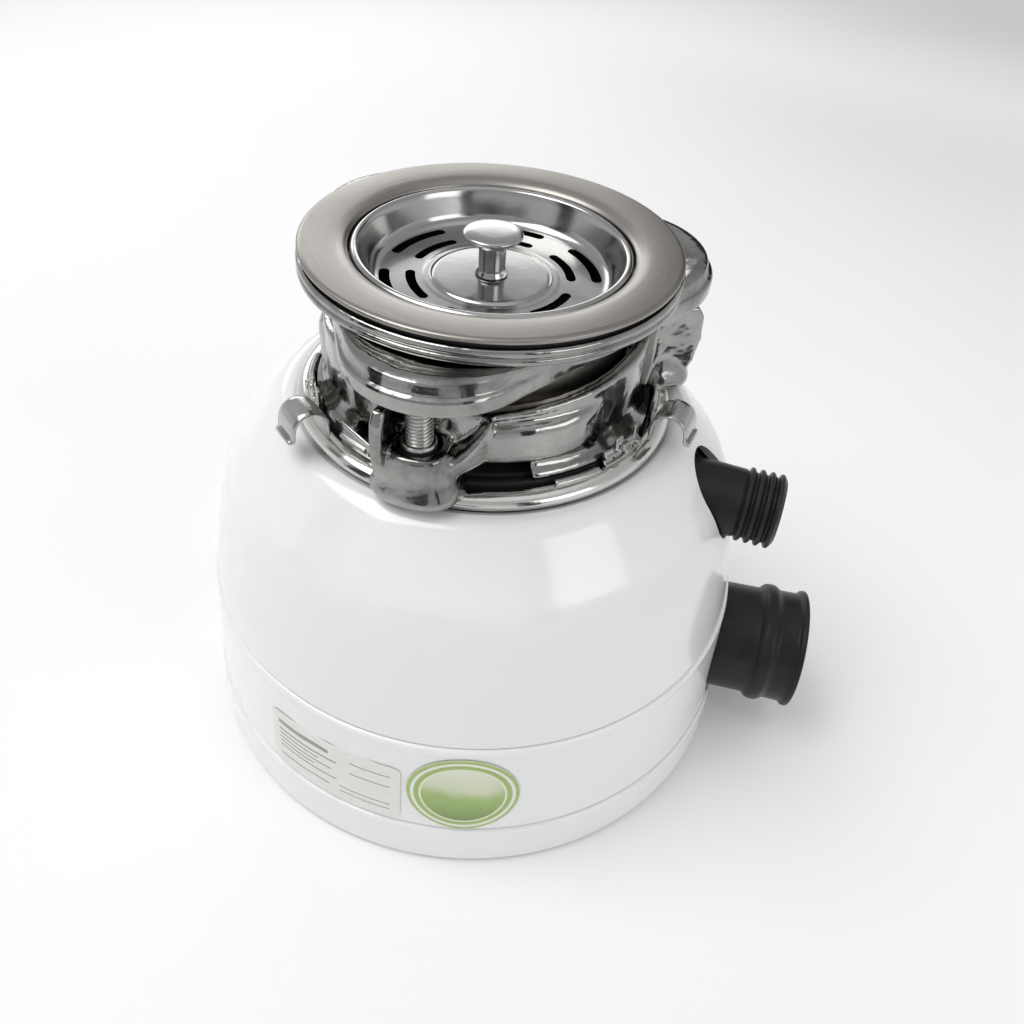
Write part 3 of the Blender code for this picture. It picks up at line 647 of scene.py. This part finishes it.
casting = cut(casting, lathe([(40.0, 130.0), (45.02, 130.0), (45.02, 170.0), (40.0, 170.0)], 120))
settle(casting, "mount_casting", CAST, 50.0, stands_for=("mount_ring",))

# Mounting screws with a rolled thread -------------------------------------------------------------
THREAD_PITCH = 1.25
THREAD_DEPTH = 0.62
END_TAPER = 1.2


def threaded(radius, low, high, matrix, sides=36):
    """A screw whose surface rises and falls along a helix, easing out at domed ends."""
    rows = []
    levels = int((high - low) / (THREAD_PITCH / 8))
    for level in range(levels + 1):
        height = low + (high - low) * level / levels
        ease = min(1.0, (height - low) / END_TAPER, (high - height) / END_TAPER)
        row = []
        for side in range(sides):
            phase = (height / THREAD_PITCH - side / sides) % 1.0
            ridge = 1 - abs(2 * phase - 1)
            crest = min(1.0, max(0.0, ridge * 1.5 - 0.15))
            size = radius - THREAD_DEPTH * (1 - crest * ease) - 0.35 * (1 - ease) ** 2
            row.append(polar(size, 360 * side / sides, height))
        rows.append(row)
    work = sweep(rows)
    work.transform(matrix)
    return work


for letter, azimuth in zip("abc", SCREW_AZ):
    settle(threaded(4.0, 134.6, 169.2, upright(azimuth, SCREW_R)), f"screw_{letter}", ZINC, 60.0,
           f"mount_screw_{letter}", (f"mount_screw_{letter}",))
    settle(lathe(rounded([
        (4.3, 149.4), (4.9, 149.4, 0.3), (5.2, 148.4, 0.3), (5.3, 146.3, 0.5), (6.1, 145.6, 0.4),
        (6.2, 144.3), (4.3, 144.3)]), 48, axis=upright(azimuth, SCREW_R)), f"collar_{letter}", ZINC,
        body=f"screw_collar_{letter}", stands_for=(f"screw_collar_{letter}",))

# Twist-lock ring -------------------------------------------------------------------------------------
ring_outline = rounded([
    (56.4, 133.0, 0.4), (57.4, 133.3, 0.6), (59.6, 132.9, 1.0), (61.3, 131.8, 1.0), (62.0, 130.2, 0.7),
    (61.4, 128.8, 0.4), (60.6, 128.75), (60.9, 130.2, 0.6), (59.4, 131.5, 0.8), (56.4, 131.6)])
settle(lathe(ring_outline, 192), "lock_band", BAND, 40.0, "lock_ring", ("lock_ring",))
HOOK = rounded([(59.2, 131.9), (59.2, 139.4, 2.5), (60.4, 142.8, 2.0), (63.2, 144.4, 2.0), (66.2, 144.4, 2.0),
                (68.9, 142.8, 2.0), (70.1, 139.8, 2.0), (70.3, 136.8, 0.6), (71.0, 135.9, 0.5),
                (72.1, 136.4)], closed=False, steps=4)


def strap(path, width, thickness, matrix):
    """Sheet bent along a (radius, height) path, with rounded long edges and a slightly narrower tip."""
    loops = []
    for i, (r, z) in enumerate(path):
        ahead = Vector(path[min(i + 1, len(path) - 1)])
        behind = Vector(path[max(i - 1, 0)])
        along = (ahead - behind).normalized()
        side = Vector((-along.y, along.x)) * thickness / 2
        half = (width if i / (len(path) - 1) < 0.9 else width - 1.0) / 2
        loop = []
        for across, out in ((-half, -0.55), (-half, 0.55), (-half + 0.4, 1.0), (half - 0.4, 1.0),
                            (half, 0.55), (half, -0.55), (half - 0.4, -1.0), (-half + 0.4, -1.0)):
            loop.append((r + side.x * out, across, z + side.y * out))
        loops.append(loop)
    work = sweep(loops)
    work.transform(matrix)
    return work


for letter, azimuth in zip("abc", TAB_AZ):
    hook = evaluated(strap(HOOK, 11.0, 1.35, upright(azimuth, 0)),
                     ("SUBSURF", {"levels": 1, "render_levels": 1}))
    settle(hook, f"lock_hook_{letter}", HOOK_STEEL, 50.0, "lock_ring")
    clips = []
    for start, wide, low, high, inner, outer in (  # four upright tabs
            (-25.0, 4.0, 131.8, 138.6, 55.9, 57.0), (-20.0, 3.2, 131.8, 141.2, 55.6, 56.8),
            (-15.6, 3.6, 131.8, 139.4, 56.4, 57.6), (-11.0, 3.0, 131.8, 141.8, 55.8, 57.0)):
        clips.append(arc_wall((azimuth + start, azimuth + start + wide), lambda t: [
            (inner, low), (outer, low), (outer, high - 0.4), (outer - 0.3, high), (inner + 0.3, high),
            (inner, high - 0.4)], steps=3))
    for low, high, inner, outer in ((133.4, 134.6, 56.0, 58.2), (136.2, 137.2, 56.0, 57.9)):  # webs
        clips.append(arc_wall((azimuth - 25, azimuth - 8.5), lambda t: [
            (inner, low), (outer, low), (outer, high), (inner, high)], steps=8))
    clips.append(block((2.6, 3.0, 2.2), upright(azimuth - 17.5, 57.6) @ Matrix.Translation((0, 0, 138.6))))
    clips.append(block((2.2, 2.4, 2.0), upright(azimuth - 9.6, 57.8) @ Matrix.Translation((0, 0, 135.6))))
    clips.append(arc_wall((azimuth + 7, azimuth + 21), lambda t: [  # the tab past the hook, and its rib
        (55.5, 131.7), (56.7, 131.7), (56.7, 139.8 - 2.4 * t * t), (56.4, 140.4 - 2.4 * t * t),
        (55.8, 140.4 - 2.4 * t * t), (55.5, 139.8 - 2.4 * t * t)], steps=8))
    clips.append(arc_wall((azimuth + 8, azimuth + 19), lambda t: [
        (56.5, 135.0), (57.9, 135.4), (57.9, 136.9), (56.5, 137.3)], steps=6))
    clips.append(arc_wall((azimuth - 42.5, azimuth - 27), lambda t: [  # a low ledge
        (56.2, 132.0), (58.6, 132.6), (58.4, 134.2), (57.4, 134.8), (56.2, 134.4)], steps=10))
    lugs = melted(merge(clips), 0.3, 3)
    settle(lugs, f"lock_lugs_{letter}", HOOK_STEEL, 50.0, "lock_ring")

# Rubber mount -------------------------------------------------------------------------------------
settle(lathe(rounded([
    (38.4, 140.6, 0.6), (43.6, 140.6, 0.6), (43.8, 134.6, 0.8), (45.0, 133.8, 0.8), (50.2, 133.8, 0.5),
    (50.8, 133.2, 0.3), (52.2, 133.2, 0.3), (52.8, 133.8, 0.5), (54.6, 133.7, 0.6), (54.9, 132.6, 0.4),
    (54.9, 128.4), (38.4, 128.4)]), 144), "rubber_mount", RUBBER, stands_for=("cushion_mount",))

# White enclosure ----------------------------------------------------------------------------------
inlet_hole = lathe([(0, 60), (13.2, 60), (13.2, 110), (0, 110)], 72,
                   axis=outward(INLET_AZ, INLET_Z + 1.6) @ Matrix.Diagonal((1.12, 1, 1, 1)))
shell = lathe(rounded([
    (60.3, 127.7, 0.4), (61.6, 128.0, 0.8), (63.2, 129.2, 1.0), (66.2, 129.3, 2.5), (70.2, 127.0, 2.5),
    (80.4, 114.9, 4.0), (83.8, 111.2, 2.5), (86.1, 107.3, 2.5), (88.2, 101.0, 5.0), (91.4, 88.0, 7.0),
    (93.6, 77.0, 6.0), (95.2, 66.0, 4.0), (95.9, 61.4, 0.3), (95.6, 60.9, 0.2), (93.3, 60.9),
    (89.2, 86.2, 6.0), (83.6, 106.5, 3.0), (68.6, 124.8, 3.0), (65.6, 126.6, 1.0), (60.3, 126.6)]), 216)
shell = cut(shell, inlet_hole)
settle(shell, "top_cover", WHITE, 28.0, stands_for=("upper_shell",))

outlet_hole = rod(23.0, 70, 115, outward(0.0, OUTLET_Z), 72)
band = lathe(rounded([
    (95.0, 60.6, 0.3), (96.2, 60.55, 0.5), (96.9, 59.9, 0.5), (97.15, 58.6, 0.8), (97.1, 56.5, 1.0),
    (98.2, 40.0, 6.0), (99.2, 21.0, 0.8), (99.3, 19.4, 0.3), (98.9, 18.9, 0.2), (96.4, 18.9), (94.2, 60.6)]),
    216)
band = cut(band, outlet_hole, rod(7.4, 80, 110, outward(GLAND_AZ, GLAND_Z)))
settle(band, "middle_cover", WHITE, 28.0, stands_for=("middle_shell",))


def capsule(half_length, radius):
    """The outline of a slot with round ends, along X."""
    outline = []
    for end in (1, -1):
        for step in range(9):
            turn = math.pi * (step / 8 - end * 0.5)
            outline.append((end * half_length + radius * math.cos(turn), radius * math.sin(turn)))
    return outline


pan = lathe(rounded([
    (0, 2.6), (97.2, 2.6, 1.0), (97.2, 18.5), (98.8, 18.5, 0.3), (99.9, 18.3, 0.5), (100.35, 17.4, 0.6),
    (100.4, 15.5, 0.8), (101.0, 4.4, 2.0), (100.9, 1.4, 1.2), (99.2, 0.0, 1.2), (0, 0.0)],
    closed=False), 216)
for azimuth in (60.0, 180.0, 300.0):  # the posts that the long bolts screw into
    pan = cut(pan, rod(6.0, 2.2, 62.6, upright(azimuth, 72.0)), operation="UNION")
    pan = cut(pan, rod(2.8, 22.0, 70.0, upright(azimuth, 72.0)))
pan = cut(pan, rod(23.0, 70, 115, outward(0.0, OUTLET_Z), 72), rod(4.5, -5, 8, Matrix.Translation(BUTTON_AT)))
for number in range(3):
    vent = sweep([[(x, y, z) for x, y in capsule(6.4, 1.6)] for z in (-6, 6)])
    vent.transform(upright(120 * number + 28, 80))
    pan = cut(pan, vent)
settle(pan, "bottom_cover", WHITE, 28.0, stands_for=("base_shell",))


WALL_TOP, WALL_FOOT = (97.0, 59.4), (99.3, 19.6)  # radius and height of the middle cover's flared wall
PRINT_LIFT = 0.32
PRINT_THICKNESS = 0.3


def wrapped(name, low, high, azimuth, half_width, look, stands_for, slot, power=0.14):
    """A thin sheet on the flared wall: rings of points that shrink inside its outline, given thickness."""
    slope = (WALL_FOOT[0] - WALL_TOP[0]) / (WALL_TOP[1] - WALL_FOOT[1])
    middle, half_height = (low + high) / 2, (high - low) / 2
    rows, spokes = 14, 96
    work = bmesh.new()
    layers = []
    for lift in (0.0, PRINT_THICKNESS):
        rings = []
        for row in range(rows + 1):
            share = row / rows
            eased = 0.15 if lift and row == rows else 0.0  # the sheet's top edge is rounded down
            ring = []
            for spoke in range(spokes if row else 1):
                u, v = squircle(2 * math.pi * spoke / spokes, power)
                z = middle + v * half_height * share
                radius = WALL_TOP[0] + PRINT_LIFT + slope * (WALL_TOP[1] - z) + lift - eased
                turned = azimuth + math.degrees(u * half_width * share / radius)
                ring.append(work.verts.new(polar(radius, turned, z)))
            rings.append(ring)
        layers.append(rings)
    for rings in layers:
        for inner, outer in zip(rings, rings[1:]):
            for spoke in range(spokes):
                after = (spoke + 1) % spokes
                work.faces.new(distinct(inner[spoke % len(inner)], outer[spoke], outer[after],
                                        inner[after % len(inner)]))
    under, over = layers[0][-1], layers[1][-1]
    for spoke in range(spokes):
        after = (spoke + 1) % spokes
        work.faces.new((under[spoke], over[spoke], over[after], under[after]))
    settle(work, name, look, 50.0, stands_for=stands_for)


LABEL = (21.0, 48.0, -104.5, 25.5)  # low, high, azimuth and half width
STICKER_AZ, STICKER_Z, STICKER_R = -77.8, 38.7, 18.5
wrapped("label_plain", *LABEL, ruled_paper("label_stock", *LABEL), ("rating_label",), "label_paper")
print_look = sticker("sticker_print", [
    (0.0, (0.75, 0.80, 0.62)), (0.735, (0.74, 0.79, 0.60)), (0.775, (0.34, 0.47, 0.12)),
    (0.865, (0.80, 0.83, 0.74)), (0.925, (0.36, 0.49, 0.15)), (0.985, (0.62, 0.70, 0.44))],
    STICKER_AZ, STICKER_Z, STICKER_R)
wrapped("sticker_plain", STICKER_Z - STICKER_R, STICKER_Z + STICKER_R, STICKER_AZ, STICKER_R, print_look,
        ("round_sticker",), "sticker_film", power=1.0)

# Hose inlet, drain outlet, cord gland -------------------------------------------------------------
spigot = [(9.0, 67.0), (12.0, 67.0), (12.0, 69.0), (11.6, 69.6), (11.9, 80.0), (11.6, 90.6, 0.6)]
for number in range(4):  # the barbs
    at = 91.0 + 3.25 * number
    spigot += [(11.1, at + 0.2, 0.3), (12.6, at + 0.9, 0.4), (12.5, at + 1.9, 0.4), (11.1, at + 2.9, 0.3)]
spigot += [(11.2, 103.4, 0.4), (10.6, 104.0, 0.3), (9.0, 104.0, 0.3)]
settle(lathe(rounded(spigot), 96, axis=outward(INLET_AZ, INLET_Z)), "hose_inlet", HOSE,
       stands_for=("dishwasher_inlet",))

settle(lathe(rounded([
    (17.9, 86.0), (20.2, 86.0), (20.45, 111.0, 0.8), (21.6, 111.9, 0.6), (22.5, 113.2, 0.8),
    (22.5, 116.2, 0.8), (21.5, 117.6, 0.6), (20.9, 118.6, 0.8), (21.1, 125.2, 0.6), (22.3, 126.2, 0.5),
    (22.45, 127.6, 0.4), (21.9, 128.0, 0.3), (19.4, 128.0, 0.6), (18.2, 126.4, 0.8), (17.9, 120.0)]),
    120, axis=outward(0.0, OUTLET_Z)), "drain_sleeve", HOSE, stands_for=("discharge_sleeve",))

DROP_X = 56.0
BEND_R = 26.0
BEND_TOP = OUTLET_Z + BEND_R
bend = [Vector((DROP_X, 0, BEND_TOP + 1.0)), Vector((DROP_X, 0, BEND_TOP))]
for step in range(1, 16):
    turn = math.pi / 2 * step / 16
    bend.append(Vector((DROP_X + BEND_R - BEND_R * math.cos(turn), 0, BEND_TOP - BEND_R * math.sin(turn))))
bend += [Vector((x, 0, OUTLET_Z)) for x in (DROP_X + BEND_R, 91, 100)]


def pipe_rows(radius, count=48):
    """Loops of points round the elbow's centre line."""
    rows = []
    side = Vector((0, 1, 0))
    for i, point in enumerate(bend):
        along = (bend[min(i + 1, len(bend) - 1)] - bend[max(i - 1, 0)]).normalized()
        up = side.cross(along)
        turns = [2 * math.pi * step / count for step in range(count)]
        rows.append([tuple(point + radius * (side * math.cos(turn) + up * math.sin(turn))) for turn in turns])
    return rows


pipe = sweep(pipe_rows(17.4) + pipe_rows(15.0)[::-1], closed=True)
settle(pipe, "drain_elbow", DARK, stands_for=("discharge_elbow",))

settle(lathe(rounded([
    (4.0, 92.0), (7.0, 92.0), (7.0, 99.2), (10.4, 99.4, 0.5), (10.2, 101.0, 0.6), (9.0, 102.6, 0.8),
    (6.8, 103.2, 0.6), (6.4, 104.4, 0.4), (4.6, 104.6, 0.3), (4.0, 104.2, 0.2)]), 72,
    axis=outward(GLAND_AZ, GLAND_Z)), "cable_gland", DARK, stands_for=("cord_gland",))

settle(lathe(rounded([
    (0, 7.4), (2.6, 7.4), (4.0, 6.8), (4.0, 1.2, 0.5), (3.4, 0.5, 0.5), (0, 0.8)], closed=False), 48,
    axis=Matrix.Translation(BUTTON_AT)), "reset_cap", RED, 40.0, "reset_button", ("reset_button",))

# Carried-over nodes -------------------------------------------------------------------------------
LOOKS = {
    "steel": STEEL, "black_rubber": RUBBER, "black_plastic": DARK, "grey_cast": GREY, "copper": COPPER,
    "dark_ceramic": CERAMIC, "white_plastic": WHITE, "cast_metal": CAST, "polished_steel": POLISHED,
    "brushed_rim": RIM, "red_plastic": RED, "label_paper": WHITE, "sticker_film": WHITE}
for part in frame["record"]["subparts"]:
    mesh = frame["nodes"][part["node"]].data
    look = LINER if part["node"] == "sound_liner" else LOOKS[part["material_slot"]]
    mesh.materials.clear()
    mesh.materials.append(look)

# Studio -------------------------------------------------------------------------------------------
scene = bpy.context.scene


def aim(made, at, towards, axis):
    made.location = at
    made.rotation_euler = (Vector(towards) - Vector(at)).to_track_quat(axis, "Y").to_euler()
    scene.collection.objects.link(made)


def card(name, size, at, towards, look, seen=True):
    """A flat sheet of the studio, facing a point."""
    work = bmesh.new()
    bmesh.ops.create_grid(work, x_segments=1, y_segments=1, size=0.5)
    work.transform(Matrix.Diagonal((size[0], size[1], 1, 1)))
    mesh = bpy.data.meshes.new(name)
    work.to_mesh(mesh)
    work.free()
    mesh.materials.append(look)
    made = bpy.data.objects.new(name, mesh)
    aim(made, at, towards, "Z")
    made.visible_camera = seen


def light(name, size, at, power):
    """A rectangular lamp that shines on the object."""
    lamp = bpy.data.lights.new(name, "AREA")
    lamp.shape = "RECTANGLE"
    lamp.size, lamp.size_y = size
    lamp.energy = power
    aim(bpy.data.objects.new(name, lamp), at, (0, 0, 0.1), "-Z")


ground = Nodes("studio_floor")
ground.set(Base_Color=ground.ramp(ground.noise(3.0), [(0.3, (0.93, 0.93, 0.93)), (0.7, (0.95, 0.95, 0.95))]),
           Roughness=0.9)
card("floor", (8, 8), (0, 0, -0.0004), (0, 0, 1), ground.material)

flag = Nodes("studio_flag")
flag.set(Base_Color=flag.ramp(flag.noise(4.0), [(0.3, (0.02, 0.02, 0.02)), (0.7, (0.03, 0.03, 0.03))]),
         Roughness=1.0)
for name, size, at in (  # dark sheets, out of the camera's sight, for the metal to reflect
        ("flag_left", (0.22, 0.7), (-0.62, -0.42, 0.40)), ("flag_right", (0.16, 0.6), (0.50, -0.62, 0.36)),
        ("flag_front", (0.5, 0.14), (-0.05, -0.9, 0.16)), ("flag_back", (0.5, 0.3), (0.25, 0.8, 0.40))):
    card(name, size, at, (0, 0, 0.15), flag.material, seen=False)

light("key", (0.9, 0.7), (-0.55, -0.25, 1.2), 8.5)
light("fill", (0.7, 0.5), (0.95, -0.55, 0.7), 2.2)
light("back", (0.9, 0.3), (-0.5, 1.0, 0.55), 2.0)

# The room: bright near the horizon and overhead, with a greyer belt between.
world = bpy.data.worlds.new("studio")
world.use_nodes = True
sky = world.node_tree
coordinate = sky.nodes.new("ShaderNodeTexCoord")
height = sky.nodes.new("ShaderNodeSeparateXYZ")
belt = sky.nodes.new("ShaderNodeValToRGB")
for position, grey in ((0.12, 0.74), (0.40, 0.52), (0.80, 0.46), (0.95, 0.80)):
    element = belt.color_ramp.elements.new(position)
    element.color = (grey, grey, grey * 1.02, 1)
belt.color_ramp.elements.remove(belt.color_ramp.elements[0])
belt.color_ramp.elements[-1].color = (0.75, 0.75, 0.77, 1)
sky.links.new(coordinate.outputs["Generated"], height.inputs[0])
sky.links.new(height.outputs[2], belt.inputs[0])
sky.links.new(belt.outputs[0], sky.nodes["Background"].inputs["Color"])
scene.world = world
scene.view_settings.view_transform = "Standard"

# The camera was fitted to the photograph's ellipses: it stands close by, turned round the object.
SENSOR = 36.0
FOCAL = 0.8939  # as a share of the sensor's width
CAMERA_TURN = math.radians(12.2)
CAMERA_AT = (0, -0.256118, 0.121341)  # before that turn, from the middle of the rim
RIM_MIDDLE = (0, 0, 0.1833)
PITCH_DOWN, ROLL, YAW = 0.7326, 0.08751, -0.04946
camera = bpy.data.objects.new("camera", bpy.data.cameras.new("camera"))
camera.data.sensor_width = SENSOR
camera.data.lens = SENSOR * FOCAL
ahead = Vector((0, math.cos(PITCH_DOWN), -math.sin(PITCH_DOWN)))
over = Vector((0, math.sin(PITCH_DOWN), math.cos(PITCH_DOWN)))
level = Vector((1, 0, 0))
right = math.cos(ROLL) * level + math.sin(ROLL) * over
above = -math.sin(ROLL) * level + math.cos(ROLL) * over
facing = Matrix.Rotation(CAMERA_TURN + YAW, 3, "Z") @ Matrix((right, above, -ahead)).transposed()
spot = Matrix.Rotation(CAMERA_TURN, 3, "Z") @ Vector(CAMERA_AT) + Vector(RIM_MIDDLE)
camera.matrix_world = Matrix.Translation(spot) @ facing.to_4x4()
scene.collection.objects.link(camera)
scene.camera = camera
